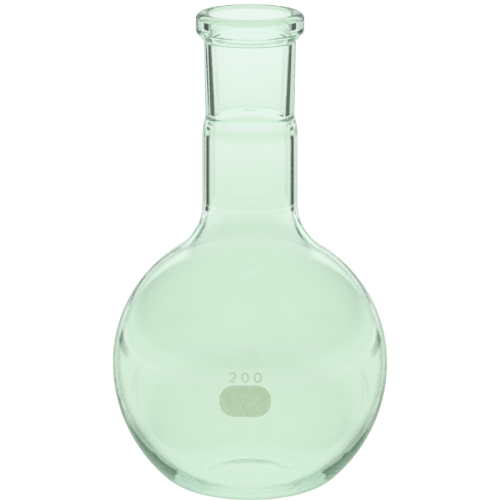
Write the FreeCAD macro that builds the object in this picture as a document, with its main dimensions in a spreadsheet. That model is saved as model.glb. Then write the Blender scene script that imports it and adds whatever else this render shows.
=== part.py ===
import FreeCAD, Part
import math
import os
from types import SimpleNamespace

import Sketcher
from FreeCAD import Vector

# A flat bottom flask blown from one piece of glass, with a ground socket in its neck and a fired-on
# writing patch. Millimetres, +Z up, origin on the standing plane under the middle of the base.
# The front, where the patch is, faces -Y.

# The driving dimensions. Each becomes an aliased cell of the sheet, and every feature reads it there.
SIZES = {
    # Bulb: a ball above its widest place, a fuller curve below it, then a heel that turns to the foot.
    # The wall is thinnest at the widest place. Below it the inside curves in sooner than the outside,
    # so the glass grows thicker all the way down to the heel.
    "body_diameter": 80.0,
    "body_middle_height": 36.9,
    "body_wall": 1.2,
    "side_radius": 44.5,
    "inner_side_radius": 39.5,
    "heel_radius": 16.0,
    "inner_heel_radius": 19.0,
    # Foot: a flat ring to stand on, round a base that is pushed up a little.
    "foot_ring_width": 2.0,
    "push_up_height": 1.2,
    "push_up_edge_radius": 4.0,
    "base_wall": 2.2,
    # Neck: a straight tube that blends into the bulb, with a shoulder at its upper end.
    "neck_diameter": 27.5,
    "neck_wall": 1.7,
    "neck_blend_radius": 16.0,
    "shoulder_radius": 17.0,
    "inner_shoulder_radius": 5.0,
    # Socket: a ground bore that narrows by one in ten, with a waist outside where it meets the neck.
    "flask_height": 140.3,
    "bore_diameter": 24.0,
    "bore_length": 30.0,
    "bore_taper": 0.1,
    "waist_diameter": 25.6,
    "waist_height": 110.1,
    "waist_blend_radius": 2.0,
    "socket_diameter": 26.5,
    # Rim: a thick bead round the mouth, with a sloping underside.
    "rim_diameter": 31.2,
    "rim_height": 8.0,
    "rim_slope_height": 2.5,
    "rim_top_radius": 1.8,
    "rim_lower_radius": 1.2,
    "rim_root_radius": 1.0,
    "mouth_radius": 1.0,
    # Writing patch: thin fired enamel on the front of the bulb, its middle a little below the widest
    # place. Its blank is larger all round by a margin, which is trimmed off.
    "patch_width": 14.6,
    "patch_height": 9.2,
    "patch_corner_radius": 4.2,
    "patch_drop": 1.6,
    "patch_turn": 2.0,
    "enamel_thickness": 0.15,
    "blank_margin": 4.0,
}

d = SimpleNamespace(**SIZES)
doc = FreeCAD.newDocument("FlatBottomFlask")

sheet = doc.addObject("Spreadsheet::Sheet", "Dimensions")
for row, (name, value) in enumerate(SIZES.items(), 1):
    sheet.set(f"A{row}", name)
    sheet.set(f"B{row}", str(value))
    sheet.setAlias(f"B{row}", name)
doc.recompute()


def bound(text):
    """An expression in plain size names, as the document reads it."""
    return " ".join(f"Dimensions.{word}" if word in SIZES else word for word in text.split())


def flat(point):
    return Vector(point[0], point[1], 0)


def angle(centre, point):
    return math.atan2(point[1] - centre[1], point[0] - centre[0])


def on_circle(centre, radius, turn):
    return centre[0] + radius * math.cos(turn), centre[1] + radius * math.sin(turn)


class Outline:
    """A closed sketch outline: each piece is drawn where its sizes put it, then held by constraints.

    A piece is (number, first, last): its number in the sketch, and which of its own points come first
    and last along the outline.
    """

    def __init__(self, body, name, plane):
        self.sketch = body.newObject("Sketcher::SketchObject", name)
        origin = [f for f in body.Origin.OriginFeatures if f.Role == plane][0]
        self.sketch.AttachmentSupport = [(origin, "")]
        self.sketch.MapMode = "FlatFace"

    def line(self, start, end):
        return self.sketch.addGeometry(Part.LineSegment(flat(start), flat(end)), False), 1, 2

    def arc(self, centre, start, end):
        """The shorter arc from start to end. The sketch keeps every arc anticlockwise."""
        circle = Part.Circle(flat(centre), Vector(0, 0, 1), math.dist(centre, start))
        first, last = angle(centre, start), angle(centre, end)
        if (last - first) % (2 * math.pi) < math.pi:
            return self.sketch.addGeometry(Part.ArcOfCircle(circle, first, last), False), 1, 2
        return self.sketch.addGeometry(Part.ArcOfCircle(circle, last, first), False), 2, 1

    def rule(self, *terms):
        return self.sketch.addConstraint(Sketcher.Constraint(*terms))

    def join(self, kind, *pieces):
        """Joins each piece's last point to the next one's first: Coincident or Tangent."""
        for one, other in zip(pieces, pieces[1:]):
            self.rule(kind, one[0], one[2], other[0], other[1])

    def bind(self, number, text):
        self.sketch.setExpression(f"Constraints[{number}]", bound(text))

    def radius(self, piece, text):
        drawn = self.sketch.Geometry[piece[0]].Radius
        self.bind(self.rule("Radius", piece[0], drawn), text)

    def measure(self, piece, name):
        """A radius that the other sizes leave no choice of, named so that other outlines can read it."""
        number = self.rule("Radius", piece[0], self.sketch.Geometry[piece[0]].Radius)
        self.sketch.setDriving(number, False)
        self.sketch.renameConstraint(number, name)

    def sweep(self, piece, text):
        drawn = self.sketch.Geometry[piece[0]]
        self.bind(self.rule("Angle", piece[0], drawn.LastParameter - drawn.FirstParameter), text)

    def across(self, piece, point, text):
        """How far from the vertical axis one of the piece's points lies."""
        drawn = self.sketch.getPoint(piece[0], point).x
        self.bind(self.rule("DistanceX", -1, 1, piece[0], point, drawn), text)

    def up(self, piece, point, text):
        """How high one of the piece's points lies."""
        drawn = self.sketch.getPoint(piece[0], point).y
        self.bind(self.rule("DistanceY", -1, 1, piece[0], point, drawn), text)

    def on_axis(self, piece, point):
        self.rule("PointOnObject", piece[0], point, -2)


CENTRE = 3  # the number that a sketch gives to an arc's centre point

# Where the bulb's arcs have their centres. The inside shares the ball's, so the wall is even there.
ball_radius = d.body_diameter / 2
ball_centre = (0, d.body_middle_height)
side_centre = (ball_radius - d.side_radius, d.body_middle_height)
inner_side_centre = (ball_radius - d.body_wall - d.inner_side_radius, d.body_middle_height)
heel_drop = d.body_middle_height - d.heel_radius
heel_reach = math.sqrt((d.side_radius - d.heel_radius) ** 2 - heel_drop**2)
heel_centre = (side_centre[0] + heel_reach, d.heel_radius)

# The push-up is part of a large ball that passes through the foot ring's inner edge.
push_up_edge = heel_centre[0] - d.foot_ring_width
push_up_radius = (push_up_edge**2 + d.push_up_height**2) / (2 * d.push_up_height)
push_up_centre = (0, d.push_up_height - push_up_radius)
floor_radius = push_up_radius + d.base_wall

OUTSIDE = {
    "heel": (d.heel_radius, "heel_radius"),
    "side": (d.side_radius, "side_radius"),
    "ball": (ball_radius, "body_diameter / 2"),
    "blend": (d.neck_blend_radius, "neck_blend_radius"),
    "neck": (d.neck_diameter / 2, "neck_diameter / 2"),
    "shoulder": (d.shoulder_radius, "shoulder_radius"),
    "waist": (d.waist_diameter / 2, "waist_diameter / 2"),
    "waist_height": (d.waist_height, "waist_height"),
}
INSIDE = {
    "heel": (d.inner_heel_radius, "inner_heel_radius"),
    "side": (d.inner_side_radius, "inner_side_radius"),
    "ball": (ball_radius - d.body_wall, "body_diameter / 2 - body_wall"),
    "blend": (
        d.neck_blend_radius + (d.neck_wall + d.body_wall) / 2,
        "neck_blend_radius + ( neck_wall + body_wall ) / 2",
    ),
    "neck": (d.neck_diameter / 2 - d.neck_wall, "neck_diameter / 2 - neck_wall"),
    "shoulder": (d.inner_shoulder_radius, "inner_shoulder_radius"),
    "waist": (
        (d.bore_diameter - d.bore_length * d.bore_taper) / 2,
        "( bore_diameter - bore_length * bore_taper ) / 2",
    ),
    "waist_height": (d.flask_height - d.bore_length, "flask_height - bore_length"),
}


def draw_bulb(outline, shell, side_middle, heel_start, heel_middle):
    """The curves from the heel up to the waist. The outside and the inside share their form."""
    size = {name: pair[0] for name, pair in shell.items()}
    heel_end = on_circle(side_middle, size["side"], angle(side_middle, heel_middle))
    widest = (size["ball"], ball_centre[1])
    blend_x = size["neck"] + size["blend"]
    blend_rise = math.sqrt((size["ball"] + size["blend"]) ** 2 - blend_x**2)
    blend_centre = (blend_x, ball_centre[1] + blend_rise)
    ball_end = on_circle(ball_centre, size["ball"], angle(ball_centre, blend_centre))
    neck_start = (size["neck"], blend_centre[1])
    inset = size["shoulder"] - size["neck"] + size["waist"]
    shoulder_height = size["waist_height"] - math.sqrt(size["shoulder"] ** 2 - inset**2)
    shoulder_start = (size["neck"], shoulder_height)
    shoulder_centre = (size["neck"] - size["shoulder"], shoulder_height)

    heel = outline.arc(heel_middle, heel_start, heel_end)
    side = outline.arc(side_middle, heel_end, widest)
    ball = outline.arc(ball_centre, widest, ball_end)
    blend = outline.arc(blend_centre, ball_end, neck_start)
    neck = outline.line(neck_start, shoulder_start)
    shoulder = outline.arc(shoulder_centre, shoulder_start, (size["waist"], size["waist_height"]))

    outline.join("Tangent", heel, side, ball, blend, neck, shoulder)
    outline.radius(heel, shell["heel"][1])
    outline.radius(side, shell["side"][1])
    outline.on_axis(ball, CENTRE)
    outline.up(ball, CENTRE, "body_middle_height")
    outline.up(ball, ball[1], "body_middle_height")
    outline.radius(ball, shell["ball"][1])
    outline.radius(blend, shell["blend"][1])
    outline.rule("Vertical", neck[0])
    outline.across(neck, neck[1], shell["neck"][1])
    outline.radius(shoulder, shell["shoulder"][1])
    outline.across(shoulder, shoulder[2], shell["waist"][1])
    outline.up(shoulder, shoulder[2], shell["waist_height"][1])
    return heel, shoulder


def draw_outside(body):
    """The glass with no hollow: foot, bulb, neck, socket and rim."""
    outline = Outline(body, "OutsideOutline", "XZ_Plane")
    heel_start = (heel_centre[0], 0)
    slope_height = d.flask_height - d.rim_height
    rim_height = slope_height + d.rim_slope_height
    waist = (d.waist_diameter / 2, d.waist_height)
    socket_top = (d.socket_diameter / 2, slope_height)
    rim_bottom = (d.rim_diameter / 2, rim_height)
    rim_top = (d.rim_diameter / 2, d.flask_height)
    axis_top = (0, d.flask_height)

    push_up = outline.arc(push_up_centre, (0, d.push_up_height), (push_up_edge, 0))
    foot = outline.line((push_up_edge, 0), heel_start)
    heel, shoulder = draw_bulb(outline, OUTSIDE, side_centre, heel_start, heel_centre)
    socket = outline.line(waist, socket_top)
    slope = outline.line(socket_top, rim_bottom)
    rim = outline.line(rim_bottom, rim_top)
    top = outline.line(rim_top, axis_top)
    axis = outline.line(axis_top, (0, d.push_up_height))

    outline.join("Coincident", push_up, foot)
    outline.join("Tangent", foot, heel)
    outline.join("Coincident", shoulder, socket, slope, rim, top, axis, push_up)
    outline.on_axis(push_up, CENTRE)
    outline.on_axis(push_up, push_up[1])
    outline.up(push_up, push_up[1], "push_up_height")
    outline.measure(push_up, "push_up_radius")
    outline.rule("PointOnObject", push_up[0], push_up[2], -1)
    outline.rule("Horizontal", foot[0])
    outline.bind(outline.rule("Distance", foot[0], d.foot_ring_width), "foot_ring_width")
    outline.across(socket, socket[2], "socket_diameter / 2")
    outline.up(socket, socket[2], "flask_height - rim_height")
    outline.across(slope, slope[2], "rim_diameter / 2")
    outline.up(slope, slope[2], "flask_height - rim_height + rim_slope_height")
    outline.rule("Vertical", rim[0])
    outline.up(rim, rim[2], "flask_height")
    outline.rule("Horizontal", top[0])
    outline.on_axis(top, top[2])
    return outline.sketch


def inner_heel_centre():
    """Where a circle of the inner heel's radius touches both the floor and the inner side."""
    to_floor = floor_radius + d.inner_heel_radius
    to_side = INSIDE["side"][0] - d.inner_heel_radius
    apart = math.dist(push_up_centre, inner_side_centre)
    along = (to_floor**2 - to_side**2 + apart**2) / (2 * apart)
    aside = math.sqrt(to_floor**2 - along**2)
    lean = angle(push_up_centre, inner_side_centre) - math.atan2(aside, along)
    return on_circle(push_up_centre, to_floor, lean)


def draw_inside(body):
    """The hollow: a floor that follows the push-up, the bulb's inside, the neck and the ground bore."""
    outline = Outline(body, "InsideOutline", "XZ_Plane")
    floor_top = (0, d.push_up_height + d.base_wall)
    heel_middle = inner_heel_centre()
    floor_end = on_circle(push_up_centre, floor_radius, angle(push_up_centre, heel_middle))
    bore_bottom = (INSIDE["waist"][0], INSIDE["waist_height"][0])
    mouth = (d.bore_diameter / 2, d.flask_height)
    axis_top = (0, d.flask_height)

    floor = outline.arc(push_up_centre, floor_top, floor_end)
    heel, shoulder = draw_bulb(outline, INSIDE, inner_side_centre, floor_end, heel_middle)
    bore = outline.line(bore_bottom, mouth)
    top = outline.line(mouth, axis_top)
    axis = outline.line(axis_top, floor_top)

    outline.join("Tangent", floor, heel)
    outline.join("Coincident", shoulder, bore, top, axis, floor)
    outline.on_axis(floor, CENTRE)
    outline.on_axis(floor, floor[1])
    outline.up(floor, floor[1], "push_up_height + base_wall")
    outline.radius(floor, "OutsideOutline.Constraints.push_up_radius + base_wall * 1mm")
    outline.across(bore, bore[2], "bore_diameter / 2")
    outline.up(bore, bore[2], "flask_height")
    outline.rule("Horizontal", top[0])
    outline.on_axis(top, top[2])
    return outline.sketch


def turn_round(body, kind, name, sketch, sweep_text="360"):
    """Turns an outline about the upright axis, as added glass or as a groove."""
    feature = body.newObject(kind, name)
    feature.Profile = (sketch, [""])
    feature.ReferenceAxis = (sketch, ["V_Axis"])
    feature.Midplane = True
    feature.setExpression("Angle", bound(sweep_text))
    doc.recompute()
    return feature


def round_ring(body, name, radius, height, text):
    """Rounds the ring edge of this radius and height on the body's newest feature."""
    last = body.Tip
    rings = [
        f"Edge{number}"
        for number, edge in enumerate(last.Shape.Edges, 1)
        if not edge.Degenerated
        and isinstance(edge.Curve, Part.Circle)
        and abs(edge.Curve.Radius - radius) < 1e-4
        and abs(edge.Curve.Center.z - height) < 1e-4
    ]
    feature = body.newObject("PartDesign::Fillet", name)
    feature.Base = (last, rings)
    feature.setExpression("Radius", bound(text))
    doc.recompute()


def make_flask():
    body = doc.addObject("PartDesign::Body", "flask")
    body.Label = "flask"
    solid = turn_round(body, "PartDesign::Revolution", "Outside", draw_outside(body))
    hollow = turn_round(body, "PartDesign::Groove", "Inside", draw_inside(body))
    must_shrink(solid, hollow)
    rim_bottom = d.flask_height - d.rim_height
    rim_middle = rim_bottom + d.rim_slope_height
    round_ring(body, "RimTop", d.rim_diameter / 2, d.flask_height, "rim_top_radius")
    round_ring(body, "RimLower", d.rim_diameter / 2, rim_middle, "rim_lower_radius")
    round_ring(body, "RimRoot", d.socket_diameter / 2, rim_bottom, "rim_root_radius")
    round_ring(body, "Mouth", d.bore_diameter / 2, d.flask_height, "mouth_radius")
    round_ring(body, "Waist", d.waist_diameter / 2, d.waist_height, "waist_blend_radius")
    round_ring(body, "PushUpEdge", push_up_edge, 0, "push_up_edge_radius")
    return body


def draw_blank(body):
    """A skin of enamel over the bulb's outside, leaning as far above its widest place as below it."""
    outline = Outline(body, "BlankOutline", "XZ_Plane")
    outer = d.enamel_thickness
    lean = math.asin((d.patch_drop + d.patch_height / 2 + d.blank_margin) / ball_radius)
    lean_text = "asin( ( patch_drop + patch_height / 2 + blank_margin ) / ( body_diameter / 2 ) )"
    inner_top = on_circle(ball_centre, ball_radius, lean)
    outer_top = on_circle(ball_centre, ball_radius + outer, lean)
    inner_widest = (ball_radius, d.body_middle_height)
    outer_widest = (ball_radius + outer, d.body_middle_height)
    inner_low = on_circle(side_centre, d.side_radius, -lean)
    outer_low = on_circle(side_centre, d.side_radius + outer, -lean)

    inner_ball = outline.arc(ball_centre, inner_top, inner_widest)
    inner_side = outline.arc(side_centre, inner_widest, inner_low)
    low = outline.line(inner_low, outer_low)
    outer_side = outline.arc(side_centre, outer_low, outer_widest)
    outer_ball = outline.arc(ball_centre, outer_widest, outer_top)
    high = outline.line(outer_top, inner_top)

    outline.join("Tangent", inner_ball, inner_side)
    outline.join("Coincident", inner_side, low, outer_side)
    outline.join("Tangent", outer_side, outer_ball)
    outline.join("Coincident", outer_ball, high, inner_ball)
    for ball, side, skin in ((inner_ball, inner_side, ""), (outer_ball, outer_side, " + enamel_thickness")):
        outline.on_axis(ball, CENTRE)
        outline.up(ball, CENTRE, "body_middle_height")
        outline.radius(ball, f"body_diameter / 2{skin}")
        outline.sweep(ball, lean_text)
        outline.radius(side, f"side_radius{skin}")
        outline.sweep(side, lean_text)
    outline.up(inner_ball, inner_ball[2], "body_middle_height")
    outline.up(outer_ball, outer_ball[1], "body_middle_height")
    return outline.sketch


def draw_frame(body):
    """A wide sheet with the patch's rounded outline left out of it, seen along the way the patch faces."""
    outline = Outline(body, "FrameOutline", "YZ_Plane")
    wide = d.patch_width / 2 + 2 * d.blank_margin
    left, right = -d.patch_width / 2, d.patch_width / 2
    low = d.body_middle_height - d.patch_drop - d.patch_height / 2
    high = d.body_middle_height - d.patch_drop + d.patch_height / 2
    corner = d.patch_corner_radius

    bottom = outline.line((-wide, 0), (wide, 0))
    right_side = outline.line((wide, 0), (wide, d.flask_height))
    top = outline.line((wide, d.flask_height), (-wide, d.flask_height))
    left_side = outline.line((-wide, d.flask_height), (-wide, 0))
    outline.join("Coincident", bottom, right_side, top, left_side, bottom)
    outline.rule("Horizontal", bottom[0])
    outline.rule("Vertical", right_side[0])
    outline.rule("Horizontal", top[0])
    outline.rule("Vertical", left_side[0])
    outline.rule("Symmetric", bottom[0], 1, bottom[0], 2, -1, 1)
    outline.across(bottom, 2, "patch_width / 2 + 2 * blank_margin")
    outline.up(right_side, 2, "flask_height")

    lower = outline.line((left + corner, low), (right - corner, low))
    corner_1 = outline.arc((right - corner, low + corner), (right - corner, low), (right, low + corner))
    rise = outline.line((right, low + corner), (right, high - corner))
    corner_2 = outline.arc((right - corner, high - corner), (right, high - corner), (right - corner, high))
    upper = outline.line((right - corner, high), (left + corner, high))
    corner_3 = outline.arc((left + corner, high - corner), (left + corner, high), (left, high - corner))
    fall = outline.line((left, high - corner), (left, low + corner))
    corner_4 = outline.arc((left + corner, low + corner), (left, low + corner), (left + corner, low))
    outline.join("Tangent", lower, corner_1, rise, corner_2, upper, corner_3, fall, corner_4, lower)
    outline.rule("Horizontal", lower[0])
    outline.rule("Vertical", rise[0])
    outline.rule("Horizontal", upper[0])
    outline.rule("Vertical", fall[0])
    outline.across(rise, 1, "patch_width / 2")
    outline.across(fall, 1, "- patch_width / 2")
    outline.up(lower, 1, "body_middle_height - patch_drop - patch_height / 2")
    outline.up(upper, 1, "body_middle_height - patch_drop + patch_height / 2")
    for corner_arc in (corner_1, corner_2, corner_3, corner_4):
        outline.radius(corner_arc, "patch_corner_radius")
    return outline.sketch


def make_patch():
    """Enamel that lies on the bulb. It is made facing +X and then turned to the front."""
    body = doc.addObject("PartDesign::Body", "writing_patch")
    body.Label = "writing_patch"
    reach = "2 * asin( ( patch_width / 2 + blank_margin ) / ( body_diameter / 2 ) )"
    blank = turn_round(body, "PartDesign::Revolution", "Blank", draw_blank(body), reach)
    frame = draw_frame(body)
    cut = body.newObject("PartDesign::Pocket", "AroundThePatch")
    cut.Profile = (frame, [""])
    cut.Type = "ThroughAll"
    cut.Midplane = True
    doc.recompute()
    must_shrink(blank, cut)
    body.setExpression(
        "Placement",
        "placement(vector(0; 0; 0); rotation(vector(0; 0; 1); -90 - Dimensions.patch_turn))",
    )
    return body


def must_shrink(before, after):
    """A cut that points away from the solid takes nothing off, and shows no error of its own."""
    if after.Shape.Volume >= before.Shape.Volume - 1e-6:
        raise RuntimeError(f"{after.Label} cuts nothing")


pieces = [make_flask(), make_patch()]
doc.recompute()
for item in doc.Objects:
    if "Invalid" in item.State or "Error" in item.State:
        raise RuntimeError(f"{item.Label} is in state {item.State}")
for piece in pieces:
    if piece.Shape.isNull() or not piece.Shape.isValid():
        raise RuntimeError(f"{piece.Label} has no valid shape")

os.makedirs("parts", exist_ok=True)
for piece in pieces:
    piece.Shape.exportStep(os.path.join("parts", f"{piece.Label}.step"))
    print(piece.Label, "volume", round(piece.Shape.Volume, 2), "box", piece.Shape.BoundBox)
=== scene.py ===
import math

import bmesh
import bpy
from bpy.props import FloatProperty, FloatVectorProperty, PointerProperty, StringProperty
from bpy.types import Operator, Panel, PropertyGroup
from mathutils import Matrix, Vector


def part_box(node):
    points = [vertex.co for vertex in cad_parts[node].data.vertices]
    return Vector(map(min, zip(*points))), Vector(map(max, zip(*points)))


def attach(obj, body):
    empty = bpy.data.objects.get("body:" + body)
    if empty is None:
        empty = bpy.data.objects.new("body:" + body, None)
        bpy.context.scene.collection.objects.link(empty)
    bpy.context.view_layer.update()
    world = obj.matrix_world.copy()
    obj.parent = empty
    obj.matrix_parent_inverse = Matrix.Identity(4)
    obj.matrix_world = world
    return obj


# The looks of a flat bottom flask: clear green-tinted glass, a fired enamel writing patch and a fired
# capacity number, in a bright studio. Metres, in the frame of the solids; the front faces -Y.

bl_info = {
    "name": "Flat Bottom Flask Finish",
    "version": (1, 0, 0),
    "blender": (4, 5, 0),
    "location": "View3D > Sidebar > Flask",
    "description": "Glass, fired enamel and studio for a flat bottom flask",
    "category": "Object",
}

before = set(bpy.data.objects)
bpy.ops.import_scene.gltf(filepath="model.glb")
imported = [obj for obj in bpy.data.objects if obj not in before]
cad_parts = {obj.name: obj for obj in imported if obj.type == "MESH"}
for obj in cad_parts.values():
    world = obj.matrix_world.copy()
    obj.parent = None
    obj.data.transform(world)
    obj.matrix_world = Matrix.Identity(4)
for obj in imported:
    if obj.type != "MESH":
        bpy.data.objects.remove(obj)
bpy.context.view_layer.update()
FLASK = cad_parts["flask"]
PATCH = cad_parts["writing_patch"]

MM = 0.001

# The floor lies a hair under the foot, so that the two faces don't fight. The light that it sends into
# the glass passes from the near colour, the flask's painted green shadow, to the far one between two
# distances from the flask's axis.
FLOOR_HALF = 3.0
FLOOR_GAP = 0.1 * MM
FLOOR_NEAR_END = 0.33
FLOOR_FAR_START = 0.62

# Painted shade on the floor, which only the glass sees. Each place begins and ends softly, over a range
# of distances from the axis, and over a range of shares of that distance that it lies to the side. Depth
# is how much of the floor's own light it takes away. The foot arcs are the flask's painted shadow at its
# sides, which the glass shows as the dark edges of the thick foot. They reach the very side, where the
# share is 1, so their end lies past it. The flags are painted shade too: dark places behind the flask,
# with no flag there, that draw the dark lines along the neck and down its blend.
FOOT_SHADOW_ARCS = {
    "begins": (34 * MM, 52 * MM),
    "ends": (54 * MM, 74 * MM),
    "aside_begins": (0.90, 0.97),
    "aside_ends": (1.1, 1.2),
    "depth": 0.35,
}
# Painted shade for the neck and its blend: dark places painted on the floor behind the flask.
NECK_PAINTED_FLAGS = {
    "begins": (0.34, 0.38),
    "ends": (0.62, 1.0),
    "aside_begins": (0.56, 0.585),
    "aside_ends": (0.80, 0.90),
    "depth": 1.0,
}
BLEND_PAINTED_FLAGS = {
    "begins": (1.0, 1.3),
    "ends": (3.0, 4.0),
    "aside_begins": (0.17, 0.22),
    "aside_ends": (0.36, 0.46),
    "depth": 1.0,
}

# How the light of the room changes with height, as sines of angles above the horizon.
HORIZON_LIGHT_FULL = math.sin(math.radians(4.0))
HORIZON_LIGHT_END = math.sin(math.radians(16.0))
OVERHEAD_START = math.sin(math.radians(8.0))
OVERHEAD_FULL = 1.0
# The panel behind fades over this angle on either side of its edge.
PANEL_EDGE = math.radians(2.0)
# Light runs along inside the thick foot and leaves it only after many turns.
LIGHT_BOUNCES = 48

# The tint varies in broad patches. It is scaled by one less the drop where the noise is nought, and by
# the spread more where the noise is one, both times the unevenness.
GLASS_CLOUD_SIZE = 14 * MM
GLASS_CLOUD_DETAIL = 2.0
GLASS_CLOUD_SPREAD = 2.0
GLASS_CLOUD_DROP = 1.5
# With this blend, the layer weight is one less the cosine of the angle at which light meets the glass.
# These are its values where the painted shade at the outline begins and is full.
EDGE_BLEND = 0.5
EDGE_START = 0.70
EDGE_FULL = 0.90

# How the print lies on the glass. Its inner face is sunk a hair into the glass, so the two don't fight.
PRINT_SUNK = 0.03 * MM
PRINT_PROUD = 0.05 * MM
GRAIN_HEIGHT = 0.004 * MM
# What the mottle and the grain do to the print: a gain, and the value where the noise is nought.
MOTTLE_DETAIL = 3.0
GRAIN_DETAIL = 1.0
SHADE_BY_MOTTLE = (0.16, 0.92)
COVER_BY_MOTTLE = (0.8, 0.6)
COVER_BY_GRAIN = (0.6, 0.7)
ROUGHNESS_BY_GRAIN = (0.3, 0.45)

# How the digits are drawn. The bow of a two starts at an angle and turns clockwise. A nought is the
# rounder the nearer its squareness is to 2. A corner widens a stroke up to a limit.
STROKE_STEPS = 14
BOW_START = 165.0
BOW_SWEEP = 205.0
ZERO_SQUARENESS = 2.5
CORNER_LIMIT = 1.6


def distance_from_axis(point):
    return math.hypot(point.x, point.y)


# The bulb's widest ring of points tells where the middle of its ball is and how large the ball is.
WIDEST = max((vertex.co for vertex in FLASK.data.vertices), key=distance_from_axis)
BALL_RADIUS = distance_from_axis(WIDEST)
BALL_HEIGHT = WIDEST.z

PATCH_LOW, PATCH_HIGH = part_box("writing_patch")
PATCH_MIDDLE = (PATCH_LOW + PATCH_HIGH) / 2
PRINT_TURN = math.atan2(PATCH_MIDDLE.x, -PATCH_MIDDLE.y)


class FlaskGlassSettings(PropertyGroup):
    """The finish of the blown glass."""

    tint: FloatVectorProperty(
        name="Tint",
        description="Share of light that each crossing of the surface lets through",
        subtype="COLOR",
        size=3,
        min=0.0,
        max=1.0,
        default=(0.985, 1.0, 0.99),
    )
    # Painted shade: how dark the tint grows where light grazes the glass, at the flask's outline.
    painted_edge_shade: FloatVectorProperty(
        name="Edge Tint",
        description="The same where the light only grazes the surface, at the flask's outline",
        subtype="COLOR",
        size=3,
        min=0.0,
        max=1.0,
        default=(0.12, 0.20, 0.14),
    )
    body_tint: FloatVectorProperty(
        name="Body Tint",
        description="Colour that the glass takes on with its thickness",
        subtype="COLOR",
        size=3,
        min=0.0,
        max=1.0,
        default=(0.125, 0.44, 0.25),
    )
    body_density: FloatProperty(
        name="Body Density",
        description="How fast the body tint deepens, for each metre of glass",
        default=10.0,
        min=0.0,
    )
    unevenness: FloatProperty(
        name="Unevenness",
        description="How much the tint varies from place to place, as it does in blown glass",
        default=0.012,
        min=0.0,
        max=1.0,
    )
    ior: FloatProperty(
        name="Refractive Index",
        description="Refractive index of borosilicate glass",
        default=1.47,
        min=1.0,
    )


class FlaskEnamelSettings(PropertyGroup):
    """The fired print: the writing patch and the capacity number."""

    patch_colour: FloatVectorProperty(
        name="Patch Colour",
        description="Colour of the matt writing patch",
        subtype="COLOR",
        size=3,
        min=0.0,
        max=1.0,
        default=(0.82, 0.83, 0.48),
    )
    number_colour: FloatVectorProperty(
        name="Number Colour",
        description="Colour of the thinly printed capacity number",
        subtype="COLOR",
        size=3,
        min=0.0,
        max=1.0,
        default=(0.80, 0.82, 0.48),
    )
    patch_cover: FloatProperty(
        name="Patch Cover",
        description="How well each face of the patch hides what is behind it",
        default=0.30,
        min=0.0,
        max=1.0,
    )
    number_cover: FloatProperty(
        name="Number Cover",
        description="How well each face of the number hides what is behind it",
        default=0.23,
        min=0.0,
        max=1.0,
    )
    mottle_size: FloatProperty(
        name="Mottle Size",
        description="Distance between the thicker places of the print",
        subtype="DISTANCE",
        default=2.2 * MM,
        min=0.0,
    )
    grain_size: FloatProperty(
        name="Grain Size",
        description="Distance between the grains that make the print matt",
        subtype="DISTANCE",
        default=0.25 * MM,
        min=0.0,
    )
    number: StringProperty(
        name="Number",
        description="Capacity in millilitres, as digits 0 and 2",
        default="200",
    )
    digit_height: FloatProperty(
        name="Digit Height",
        description="Height of a digit",
        subtype="DISTANCE",
        default=3.0 * MM,
        min=0.0,
    )
    digit_width: FloatProperty(
        name="Digit Width",
        description="Width of a digit, over its strokes",
        subtype="DISTANCE",
        default=2.2 * MM,
        min=0.0,
    )
    digit_pitch: FloatProperty(
        name="Digit Pitch",
        description="From the middle of a digit to the middle of the next one",
        subtype="DISTANCE",
        default=3.6 * MM,
        min=0.0,
    )
    stroke_width: FloatProperty(
        name="Stroke Width",
        description="Width of a digit's strokes",
        subtype="DISTANCE",
        default=0.5 * MM,
        min=0.0,
    )
    number_rise: FloatProperty(
        name="Number Rise",
        description="From the middle of the writing patch up to the middle of the number",
        subtype="DISTANCE",
        default=6.9 * MM,
    )


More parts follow.
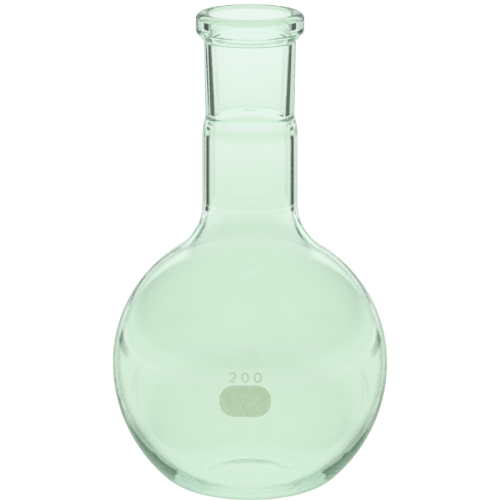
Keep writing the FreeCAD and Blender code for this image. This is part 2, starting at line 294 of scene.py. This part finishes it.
class FlaskStudioSettings(PropertyGroup):
    """The camera, the floor and the light."""

    camera_elevation: FloatProperty(
        name="Camera Elevation",
        description="Angle of the line from the bulb's middle up to the camera",
        subtype="ANGLE",
        default=math.radians(14.0),
    )
    camera_distance: FloatProperty(
        name="Camera Distance",
        description="From the bulb's middle to the camera",
        subtype="DISTANCE",
        default=1.458,
        min=0.1,
    )
    camera_lens: FloatProperty(
        name="Lens",
        description="Focal length of the camera",
        subtype="DISTANCE_CAMERA",
        default=360.0,
        min=1.0,
    )
    aim_height: FloatProperty(
        name="Aim Height",
        description="Height on the flask's axis at the middle of the picture",
        subtype="DISTANCE",
        default=70.4 * MM,
    )
    floor_glow: FloatProperty(
        name="Floor Glow",
        description="Brightness of the pale floor, which is lit so evenly that no shadow falls on it",
        default=1.03,
        min=0.0,
    )
    # Painted shadow: the flask's green shadow on the floor near it, which only the glass sees.
    floor_near_shadow_colour: FloatVectorProperty(
        name="Near Floor Shadow Colour",
        description="Light that the floor near the flask sends into the glass, greenish from the flask",
        subtype="COLOR",
        size=3,
        min=0.0,
        soft_max=2.0,
        default=(0.705, 0.875, 0.717),
    )
    floor_far_colour: FloatVectorProperty(
        name="Far Floor Colour",
        description="Light that the floor far behind sends into the glass",
        subtype="COLOR",
        size=3,
        min=0.0,
        soft_max=2.0,
        default=(0.875, 0.960, 0.905),
    )
    # Painted shadow: the dark arcs beside the foot, which only the glass sees.
    foot_shadow_colour: FloatVectorProperty(
        name="Foot Shadow Colour",
        description="Light from the dark arcs at the flask's sides, which only the glass sees",
        subtype="COLOR",
        size=3,
        min=0.0,
        max=1.0,
        default=(0.08, 0.18, 0.11),
    )
    # Painted shade: the colour of the painted flags, dark places on the floor that only the glass sees.
    painted_flag_colour: FloatVectorProperty(
        name="Painted Flag Colour",
        description="Light from the black flags behind, which only the glass sees",
        subtype="COLOR",
        size=3,
        min=0.0,
        max=1.0,
        default=(0.012, 0.027, 0.017),
    )
    panel_half_angle: FloatProperty(
        name="Panel Half Angle",
        description="How far the bright panel behind the flask reaches to each side",
        subtype="ANGLE",
        default=math.radians(33.0),
    )
    panel_glow: FloatProperty(
        name="Panel Glow",
        description="Brightness of the panel behind the flask",
        default=1.02,
        min=0.0,
    )
    light_colour: FloatVectorProperty(
        name="Light Colour",
        description="Colour of the panel behind and of the light overhead, as the glass shows them",
        subtype="COLOR",
        size=3,
        min=0.0,
        max=1.0,
        default=(0.84, 0.99, 0.89),
    )
    overhead_glow: FloatProperty(
        name="Overhead Glow",
        description="Brightness of the soft light overhead",
        default=0.5,
        min=0.0,
    )
    horizon_glow: FloatProperty(
        name="Horizon Glow",
        description="Brightness of the pale walls low down all round",
        default=0.75,
        min=0.0,
    )
    room_glow: FloatProperty(
        name="Room Glow",
        description="Brightness of the dim room to the sides and in front, above its pale walls",
        default=0.2,
        min=0.0,
    )
    room_colour: FloatVectorProperty(
        name="Room Colour",
        description="Colour of the dim room",
        subtype="COLOR",
        size=3,
        min=0.0,
        max=1.0,
        default=(0.42, 0.90, 0.58),
    )

def shader_nodes(material):
    """A material's node tree with only its output left in it."""
    material.use_nodes = True
    tree = material.node_tree
    tree.nodes.clear()
    output = tree.nodes.new("ShaderNodeOutputMaterial")
    return tree, output


def math_node(tree, operation, *values):
    """A Math node whose inputs are numbers or sockets."""
    node = tree.nodes.new("ShaderNodeMath")
    node.operation = operation
    for socket, value in zip(node.inputs, values):
        if isinstance(value, (int, float)):
            socket.default_value = value
        else:
            tree.links.new(value, socket)
    return node.outputs[0]


def smooth_range(tree, value, low, high, to_low, to_high):
    """A value taken smoothly from one range to another, and held at its ends."""
    node = tree.nodes.new("ShaderNodeMapRange")
    node.interpolation_type = "SMOOTHSTEP"
    tree.links.new(value, node.inputs["Value"])
    node.inputs["From Min"].default_value = low
    node.inputs["From Max"].default_value = high
    node.inputs["To Min"].default_value = to_low
    node.inputs["To Max"].default_value = to_high
    return node.outputs["Result"]


def noise_node(tree, place, spacing, detail):
    """Noise between 0 and 1 with a spacing in metres."""
    noise = tree.nodes.new("ShaderNodeTexNoise")
    tree.links.new(place, noise.inputs["Vector"])
    noise.inputs["Scale"].default_value = 1 / spacing
    noise.inputs["Detail"].default_value = detail
    return noise.outputs["Fac"]


def object_place(tree):
    return tree.nodes.new("ShaderNodeTexCoord").outputs["Object"]


def mix_colours(tree, factor, first, second):
    """A colour between two others, which are colours or sockets."""
    mix = tree.nodes.new("ShaderNodeMix")
    mix.data_type = "RGBA"
    tree.links.new(factor, mix.inputs["Factor"])
    sockets = {socket.name: socket for socket in mix.inputs if socket.type == "RGBA"}
    for name, colour in (("A", first), ("B", second)):
        if isinstance(colour, bpy.types.NodeSocket):
            tree.links.new(colour, sockets[name])
        else:
            sockets[name].default_value = (*colour, 1.0)
    return next(socket for socket in mix.outputs if socket.type == "RGBA")


def glass_material(settings):
    """Clear blown glass, a little uneven in its tint, which deepens with its thickness, with painted
    shade at its outline.
    """
    material = bpy.data.materials.new("blown_glass")
    tree, output = shader_nodes(material)
    glass = tree.nodes.new("ShaderNodeBsdfPrincipled")
    place = object_place(tree)
    clouds = noise_node(tree, place, GLASS_CLOUD_SIZE, GLASS_CLOUD_DETAIL)
    spread = GLASS_CLOUD_SPREAD * settings.unevenness
    deeper = math_node(tree, "MULTIPLY_ADD", clouds, spread, 1 - GLASS_CLOUD_DROP * settings.unevenness)
    uneven = tree.nodes.new("ShaderNodeVectorMath")
    uneven.operation = "SCALE"
    # Painted shade at the outline, by how nearly edge-on the glass is met.
    grazing = tree.nodes.new("ShaderNodeLayerWeight")
    grazing.inputs["Blend"].default_value = EDGE_BLEND
    edge = smooth_range(tree, grazing.outputs["Facing"], EDGE_START, EDGE_FULL, 0.0, 1.0)
    tree.links.new(mix_colours(tree, edge, settings.tint, settings.painted_edge_shade), uneven.inputs[0])
    tree.links.new(deeper, uneven.inputs["Scale"])
    tree.links.new(uneven.outputs["Vector"], glass.inputs["Base Color"])
    glass.inputs["Metallic"].default_value = 0.0
    glass.inputs["Roughness"].default_value = 0.0
    glass.inputs["IOR"].default_value = settings.ior
    glass.inputs["Transmission Weight"].default_value = 1.0
    body = tree.nodes.new("ShaderNodeVolumeAbsorption")
    body.inputs["Color"].default_value = (*settings.body_tint, 1.0)
    body.inputs["Density"].default_value = settings.body_density
    tree.links.new(glass.outputs["BSDF"], output.inputs["Surface"])
    tree.links.new(body.outputs["Volume"], output.inputs["Volume"])
    return material


def fired_print_group():
    """The surface of a fired print: thicker and thinner places, and a fine matt grain."""
    group = bpy.data.node_groups.new("fired_print", "ShaderNodeTree")
    for name, kind in (
        ("Colour", "NodeSocketColor"),
        ("Cover", "NodeSocketFloat"),
        ("Mottle Scale", "NodeSocketFloat"),
        ("Grain Scale", "NodeSocketFloat"),
    ):
        group.interface.new_socket(name, in_out="INPUT", socket_type=kind)
    for name, kind in (
        ("Colour", "NodeSocketColor"),
        ("Cover", "NodeSocketFloat"),
        ("Roughness", "NodeSocketFloat"),
        ("Height", "NodeSocketFloat"),
    ):
        group.interface.new_socket(name, in_out="OUTPUT", socket_type=kind)
    given = group.nodes.new("NodeGroupInput")
    result = group.nodes.new("NodeGroupOutput")
    place = object_place(group)

    mottle = group.nodes.new("ShaderNodeTexNoise")
    mottle.inputs["Detail"].default_value = MOTTLE_DETAIL
    group.links.new(place, mottle.inputs["Vector"])
    group.links.new(given.outputs["Mottle Scale"], mottle.inputs["Scale"])
    grain = group.nodes.new("ShaderNodeTexNoise")
    grain.inputs["Detail"].default_value = GRAIN_DETAIL
    group.links.new(place, grain.inputs["Vector"])
    group.links.new(given.outputs["Grain Scale"], grain.inputs["Scale"])

    shade = math_node(group, "MULTIPLY_ADD", mottle.outputs["Fac"], *SHADE_BY_MOTTLE)
    colour = group.nodes.new("ShaderNodeVectorMath")
    colour.operation = "SCALE"
    group.links.new(given.outputs["Colour"], colour.inputs[0])
    group.links.new(shade, colour.inputs["Scale"])
    group.links.new(colour.outputs["Vector"], result.inputs["Colour"])
    thickness = math_node(group, "MULTIPLY_ADD", mottle.outputs["Fac"], *COVER_BY_MOTTLE)
    speckle = math_node(group, "MULTIPLY_ADD", grain.outputs["Fac"], *COVER_BY_GRAIN)
    cover = math_node(group, "MULTIPLY", thickness, speckle)
    group.links.new(math_node(group, "MULTIPLY", given.outputs["Cover"], cover), result.inputs["Cover"])
    roughness = math_node(group, "MULTIPLY_ADD", grain.outputs["Fac"], *ROUGHNESS_BY_GRAIN)
    group.links.new(roughness, result.inputs["Roughness"])
    group.links.new(grain.outputs["Fac"], result.inputs["Height"])
    return group


def enamel_material(name, colour, cover, settings):
    """Matt fired enamel, thin enough to let some light through."""
    material = bpy.data.materials.new(name)
    tree, output = shader_nodes(material)
    surface = tree.nodes.new("ShaderNodeGroup")
    surface.node_tree = bpy.data.node_groups.get("fired_print") or fired_print_group()
    surface.inputs["Colour"].default_value = (*colour, 1.0)
    surface.inputs["Cover"].default_value = cover
    surface.inputs["Mottle Scale"].default_value = 1 / settings.mottle_size
    surface.inputs["Grain Scale"].default_value = 1 / settings.grain_size
    enamel = tree.nodes.new("ShaderNodeBsdfPrincipled")
    grain = tree.nodes.new("ShaderNodeBump")
    grain.inputs["Distance"].default_value = GRAIN_HEIGHT
    tree.links.new(surface.outputs["Height"], grain.inputs["Height"])
    tree.links.new(grain.outputs["Normal"], enamel.inputs["Normal"])
    tree.links.new(surface.outputs["Colour"], enamel.inputs["Base Color"])
    tree.links.new(surface.outputs["Cover"], enamel.inputs["Alpha"])
    tree.links.new(surface.outputs["Roughness"], enamel.inputs["Roughness"])
    tree.links.new(enamel.outputs["BSDF"], output.inputs["Surface"])
    return material


def dress(piece, material):
    """Puts one material on all of a piece."""
    if not piece.data.materials:
        piece.data.materials.append(material)
    for slot in piece.material_slots:
        slot.material = material


class FLASK_OT_blown_glass(Operator):
    """Gives the flask its glass"""

    bl_idname = "flask.blown_glass"
    bl_label = "Blown Glass"

    def execute(self, context):
        dress(FLASK, glass_material(context.scene.flask_glass))
        return {"FINISHED"}


class FLASK_OT_writing_patch(Operator):
    """Gives the writing patch its fired enamel"""

    bl_idname = "flask.writing_patch"
    bl_label = "Writing Patch"

    def execute(self, context):
        settings = context.scene.flask_enamel
        enamel = enamel_material("patch_enamel", settings.patch_colour, settings.patch_cover, settings)
        dress(PATCH, enamel)
        sink_inner_face(PATCH)
        return {"FINISHED"}


def sink_inner_face(piece):
    """Moves the face that lies on the glass a hair into it."""
    middle = Vector((0, 0, BALL_HEIGHT))
    inner = [vertex.index for vertex in piece.data.vertices if vertex.normal.dot(middle - vertex.co) > 0]
    group = piece.vertex_groups.new(name="inner_face")
    group.add(inner, 1.0, "REPLACE")
    sink = piece.modifiers.new("sunk_into_glass", "DISPLACE")
    sink.vertex_group = group.name
    sink.mid_level = 0.0
    sink.strength = PRINT_SUNK


class FLASK_OT_capacity_number(Operator):
    """Prints the capacity above the writing patch"""

    bl_idname = "flask.capacity_number"
    bl_label = "Capacity Number"

    def execute(self, context):
        settings = context.scene.flask_enamel
        mesh = bpy.data.meshes.new("capacity_number")
        shape = bmesh.new()
        middle = (len(settings.number) - 1) / 2
        for place, digit in enumerate(settings.number):
            line, closed = centre_line(digit, settings)
            aside = (place - middle) * settings.digit_pitch
            add_stroke(shape, [(across + aside, up) for across, up in line], closed, settings)
        bmesh.ops.recalc_face_normals(shape, faces=shape.faces)
        shape.to_mesh(mesh)
        shape.free()
        number = linked(context.scene, "capacity_number", mesh)
        enamel = enamel_material("number_enamel", settings.number_colour, settings.number_cover, settings)
        dress(number, enamel)
        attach(number, "root")
        return {"FINISHED"}


def centre_line(digit, settings):
    """The middle of a digit's stroke, flat, from the digit's own middle. Also says if it is a loop."""
    half_width = (settings.digit_width - settings.stroke_width) / 2
    half_height = (settings.digit_height - settings.stroke_width) / 2
    if digit == "0":
        return rounded_loop(half_width, half_height), True
    if digit == "2":
        bow_middle = half_height - half_width
        bow = []
        for step in range(STROKE_STEPS + 1):
            turn = math.radians(BOW_START - BOW_SWEEP * step / STROKE_STEPS)
            bow.append((half_width * math.cos(turn), bow_middle + half_width * math.sin(turn)))
        return bow + [(-half_width, -half_height), (half_width, -half_height)], False
    raise ValueError(f"no stroke is drawn for the digit {digit}")


def rounded_loop(half_width, half_height):
    """A loop between an oval and a box, for a nought."""
    power = 2 / ZERO_SQUARENESS
    loop = []
    for step in range(2 * STROKE_STEPS):
        turn = math.tau * step / (2 * STROKE_STEPS)
        across, up = math.cos(turn), math.sin(turn)
        loop.append(
            (
                half_width * math.copysign(abs(across) ** power, across),
                half_height * math.copysign(abs(up) ** power, up),
            )
        )
    return loop


def add_stroke(shape, line, closed, settings):
    """A thin flat bar of enamel along a line, bent round the ball of the bulb."""
    rings = []
    count = len(line)
    for index, point in enumerate(line):
        before = line[index - 1] if closed or index else None
        after = line[(index + 1) % count] if closed or index + 1 < count else None
        side, widen = across_line(before, point, after)
        reach = settings.stroke_width / 2 * widen
        edges = [(point[0] + end * side[0] * reach, point[1] + end * side[1] * reach) for end in (-1, 1)]
        outer = [(edge, PRINT_PROUD) for edge in edges]
        corners = outer + [(edge, -PRINT_SUNK) for edge in reversed(edges)]
        rings.append([shape.verts.new(on_bulb(flat, rise, settings)) for flat, rise in corners])
    last = count if closed else count - 1
    for index in range(last):
        ring, following = rings[index], rings[(index + 1) % count]
        for corner in range(4):
            beside = (corner + 1) % 4
            shape.faces.new((ring[corner], ring[beside], following[beside], following[corner]))
    if not closed:
        shape.faces.new(rings[0])
        shape.faces.new(reversed(rings[-1]))


def across_line(before, point, after):
    """The direction across a line at one of its points, and how much a corner there widens it."""
    runs = []
    for start, end in ((before, point), (point, after)):
        if start is not None and end is not None:
            length = math.dist(start, end)
            runs.append(((end[0] - start[0]) / length, (end[1] - start[1]) / length))
    along = (sum(run[0] for run in runs), sum(run[1] for run in runs))
    length = math.hypot(*along)
    side = (-along[1] / length, along[0] / length)
    half_turn_cosine = length / len(runs)
    return side, min(1 / half_turn_cosine, CORNER_LIMIT)


def on_bulb(flat, rise, settings):
    """A flat place of the number, wrapped on to the ball of the bulb and lifted off it."""
    number_height = PATCH_MIDDLE.z + settings.number_rise
    lean = math.asin((number_height - BALL_HEIGHT) / BALL_RADIUS)
    turn = PRINT_TURN + flat[0] / (BALL_RADIUS * math.cos(lean))
    up = lean + flat[1] / BALL_RADIUS
    radius = BALL_RADIUS + rise
    return (
        radius * math.cos(up) * math.sin(turn),
        -radius * math.cos(up) * math.cos(turn),
        BALL_HEIGHT + radius * math.sin(up),
    )


class FLASK_OT_stage(Operator):
    """Sets up the pale floor, the light surround and the camera"""

    bl_idname = "flask.stage"
    bl_label = "Stage"

    def execute(self, context):
        studio = context.scene.flask_studio
        add_camera(context.scene, studio)
        add_floor(context.scene, studio)
        add_surround(context.scene, studio)
        context.scene.cycles.max_bounces = LIGHT_BOUNCES
        context.scene.cycles.transmission_bounces = LIGHT_BOUNCES
        context.scene.cycles.glossy_bounces = LIGHT_BOUNCES
        context.scene.view_settings.view_transform = "Standard"
        return {"FINISHED"}


def add_camera(scene, studio):
    bulb_middle = Vector((0, 0, BALL_HEIGHT))
    to_camera = Vector((0, -math.cos(studio.camera_elevation), math.sin(studio.camera_elevation)))
    data = bpy.data.cameras.new("camera")
    data.lens = studio.camera_lens
    camera = bpy.data.objects.new("camera", data)
    camera.location = bulb_middle + to_camera * studio.camera_distance
    looks_along = Vector((0, 0, studio.aim_height)) - camera.location
    camera.rotation_mode = "QUATERNION"
    camera.rotation_quaternion = looks_along.to_track_quat("-Z", "Y")
    scene.collection.objects.link(camera)
    scene.camera = camera


def linked(scene, name, data):
    piece = bpy.data.objects.new(name, data)
    scene.collection.objects.link(piece)
    return piece


def square_mesh(name, half, height):
    """One flat square face at a height."""
    mesh = bpy.data.meshes.new(name)
    corners = [(-half, -half, height), (half, -half, height), (half, half, height), (-half, half, height)]
    mesh.from_pydata(corners, [], [range(4)])
    return mesh


def emission(tree, output):
    glow = tree.nodes.new("ShaderNodeEmission")
    tree.links.new(glow.outputs["Emission"], output.inputs["Surface"])
    return glow


def add_floor(scene, studio):
    """A pale floor that glows evenly, so that nothing casts a shadow on it.

    What it sends into the glass is painted shade: dimmer and greener near the flask, as the flask's
    painted shadow, and dark in the foot's painted shadow arcs and the painted flags.
    """
    floor = linked(scene, "floor", square_mesh("floor", FLOOR_HALF, -FLOOR_GAP))
    material = bpy.data.materials.new("pale_floor")
    tree, output = shader_nodes(material)
    place = tree.nodes.new("ShaderNodeNewGeometry").outputs["Position"]
    from_middle = tree.nodes.new("ShaderNodeVectorMath")
    from_middle.operation = "LENGTH"
    tree.links.new(place, from_middle.inputs[0])
    distance = from_middle.outputs["Value"]
    parts = tree.nodes.new("ShaderNodeSeparateXYZ")
    tree.links.new(place, parts.inputs[0])
    aside = math_node(tree, "DIVIDE", math_node(tree, "ABSOLUTE", parts.outputs["X"]), distance)
    behind = math_node(tree, "GREATER_THAN", parts.outputs["Y"], 0.0)
    # Painted shadow: the floor's light dims and greens towards the flask's axis.
    far = smooth_range(tree, distance, FLOOR_NEAR_END, FLOOR_FAR_START, 0.0, 1.0)
    into_glass = mix_colours(tree, far, studio.floor_near_shadow_colour, studio.floor_far_colour)
    # Painted shadow of the flask's thick walls beside the foot.
    shadow_arcs = painted_shade_place(tree, distance, aside, **FOOT_SHADOW_ARCS)
    neck = painted_shade_place(tree, distance, aside, **NECK_PAINTED_FLAGS)
    blend = painted_shade_place(tree, distance, aside, **BLEND_PAINTED_FLAGS)
    # Painted shade behind the flask, standing in for black flags that are not there.
    painted_flags = math_node(tree, "MULTIPLY", math_node(tree, "ADD", neck, blend), behind)
    into_glass = mix_colours(tree, shadow_arcs, into_glass, studio.foot_shadow_colour)
    into_glass = mix_colours(tree, painted_flags, into_glass, studio.painted_flag_colour)
    seen = tree.nodes.new("ShaderNodeLightPath").outputs["Is Camera Ray"]
    colour = mix_colours(tree, seen, into_glass, (studio.floor_glow,) * 3)
    tree.links.new(colour, emission(tree, output).inputs["Color"])
    dress(floor, material)


def painted_shade_place(tree, distance, aside, begins, ends, aside_begins, aside_ends, depth):
    """How deep the painted shade in a place of the floor is. It begins and ends softly, outward and
    aside.
    """
    outward = math_node(
        tree,
        "MULTIPLY",
        smooth_range(tree, distance, *begins, 0.0, depth),
        smooth_range(tree, distance, *ends, 1.0, 0.0),
    )
    sideways = math_node(
        tree,
        "MULTIPLY",
        smooth_range(tree, aside, *aside_begins, 0.0, 1.0),
        smooth_range(tree, aside, *aside_ends, 1.0, 0.0),
    )
    return math_node(tree, "MULTIPLY", outward, sideways)


def add_surround(scene, studio):
    """A dim room with pale walls low down, a bright panel behind and a soft light overhead."""
    world = bpy.data.worlds.new("studio")
    scene.world = world
    world.use_nodes = True
    tree = world.node_tree
    background = tree.nodes["Background"]
    direction = tree.nodes.new("ShaderNodeTexCoord")
    parts = tree.nodes.new("ShaderNodeSeparateXYZ")
    tree.links.new(direction.outputs["Generated"], parts.inputs[0])
    sideways = math_node(tree, "ABSOLUTE", parts.outputs["X"])
    turn = math_node(tree, "ARCTAN2", sideways, parts.outputs["Y"])
    edge = studio.panel_half_angle
    panel = smooth_range(tree, turn, edge - PANEL_EDGE, edge + PANEL_EDGE, 1.0, 0.0)
    height = parts.outputs["Z"]
    overhead = smooth_range(tree, height, OVERHEAD_START, OVERHEAD_FULL, 0.0, studio.overhead_glow)
    horizon = smooth_range(tree, height, HORIZON_LIGHT_FULL, HORIZON_LIGHT_END, studio.horizon_glow, 0.0)
    around = math_node(tree, "MAXIMUM", overhead, horizon)
    lit = math_node(tree, "MAXIMUM", math_node(tree, "MULTIPLY", panel, studio.panel_glow), around)
    share_lit = math_node(tree, "MINIMUM", lit, 1.0)
    dim = math_node(tree, "SUBTRACT", 1.0, share_lit)
    brightness = math_node(tree, "MULTIPLY_ADD", dim, studio.room_glow, lit)
    tree.links.new(brightness, background.inputs["Strength"])
    colour = mix_colours(tree, share_lit, studio.room_colour, studio.light_colour)
    tree.links.new(colour, background.inputs["Color"])


class FLASK_PT_finish(Panel):
    """Lists the settings of the flask's finish, and the steps that make it"""

    bl_label = "Flask"
    bl_idname = "FLASK_PT_finish"
    bl_space_type = "VIEW_3D"
    bl_region_type = "UI"
    bl_category = "Flask"

    def draw(self, context):
        for name, group in SETTINGS.items():
            settings = getattr(context.scene, name)
            column = self.layout.column()
            for setting in group.__annotations__:
                column.prop(settings, setting)
        for operator in OPERATORS:
            self.layout.operator(operator.bl_idname)


SETTINGS = {
    "flask_glass": FlaskGlassSettings,
    "flask_enamel": FlaskEnamelSettings,
    "flask_studio": FlaskStudioSettings,
}
OPERATORS = (FLASK_OT_blown_glass, FLASK_OT_writing_patch, FLASK_OT_capacity_number, FLASK_OT_stage)
CLASSES = (*SETTINGS.values(), *OPERATORS, FLASK_PT_finish)


def register():
    for item in CLASSES:
        bpy.utils.register_class(item)
    for name, group in SETTINGS.items():
        setattr(bpy.types.Scene, name, PointerProperty(type=group))


def unregister():
    for name in SETTINGS:
        delattr(bpy.types.Scene, name)
    for item in reversed(CLASSES):
        bpy.utils.unregister_class(item)


def main():
    register()
    bpy.ops.flask.blown_glass()
    bpy.ops.flask.writing_patch()
    bpy.ops.flask.capacity_number()
    bpy.ops.flask.stage()


if __name__ == "__main__":
    main()
